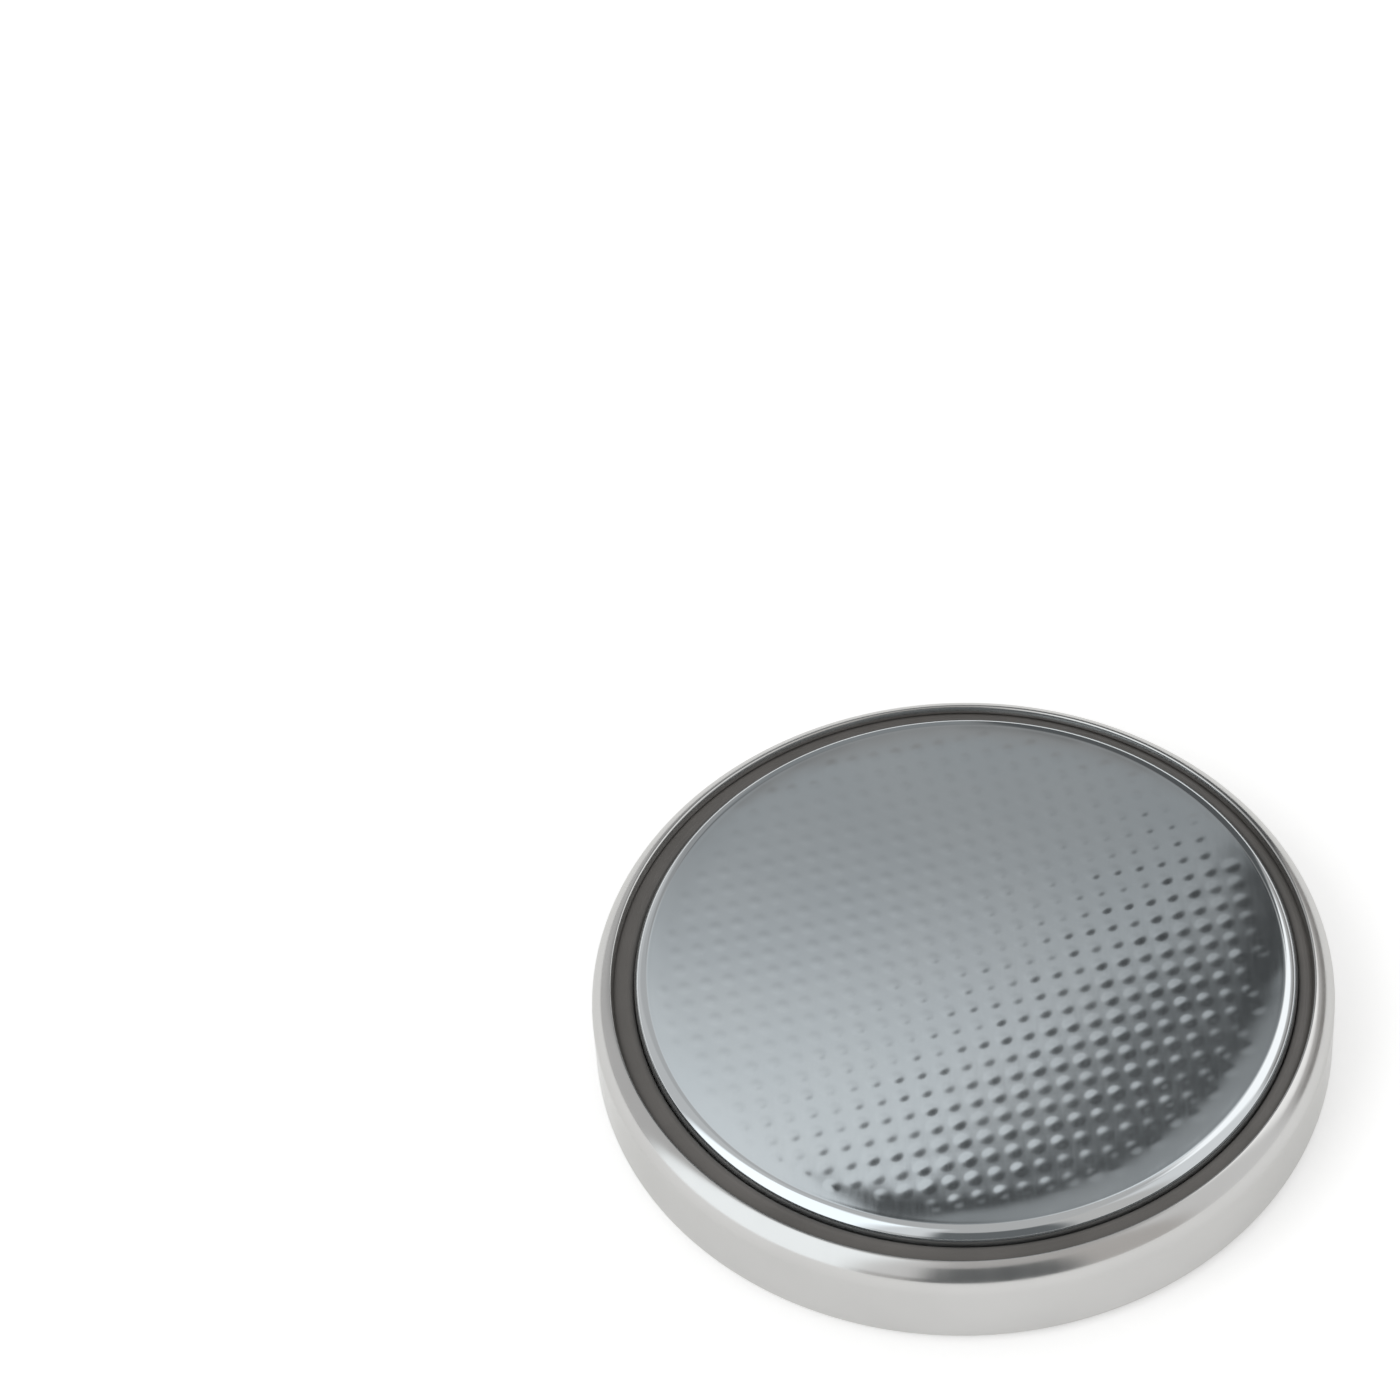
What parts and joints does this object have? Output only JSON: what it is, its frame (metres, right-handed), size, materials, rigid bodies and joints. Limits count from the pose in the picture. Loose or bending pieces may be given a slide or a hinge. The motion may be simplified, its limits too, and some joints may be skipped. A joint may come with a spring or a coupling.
{
  "type": "lithium coin cell",
  "caption": "Flat round lithium battery: a crimped steel can, a raised negative cap with embossed dots, a sealing gasket, and the electrode stack inside.",
  "frame": {"origin": "centre of the positive face, on which the cell rests", "axes": "+Z along the cell's axis, from the positive face up to the negative face; the rows of dots are turned 12 degrees from +X towards +Y"},
  "size_m": [0.02, 0.02, 0.0032],
  "materials": {
    "can_steel": "bright satin, nickel plated",
    "cap_steel": "bright satin with fine embossed dots",
    "gasket_plastic": "matte, grey brown",
    "ring_steel": "plain rolled",
    "pressed_powder": "matte pressed powder",
    "separator_sheet": "matte non-woven sheet",
    "lithium_metal": "soft matte metal foil"
  },
  "bodies": {
    "root": {"positive_can": "can_steel", "negative_cap": "cap_steel", "gasket": "gasket_plastic", "cathode_ring": "ring_steel", "cathode": "pressed_powder", "separator": "separator_sheet", "lithium_anode": "lithium_metal"}
  },
  "joints": []
}
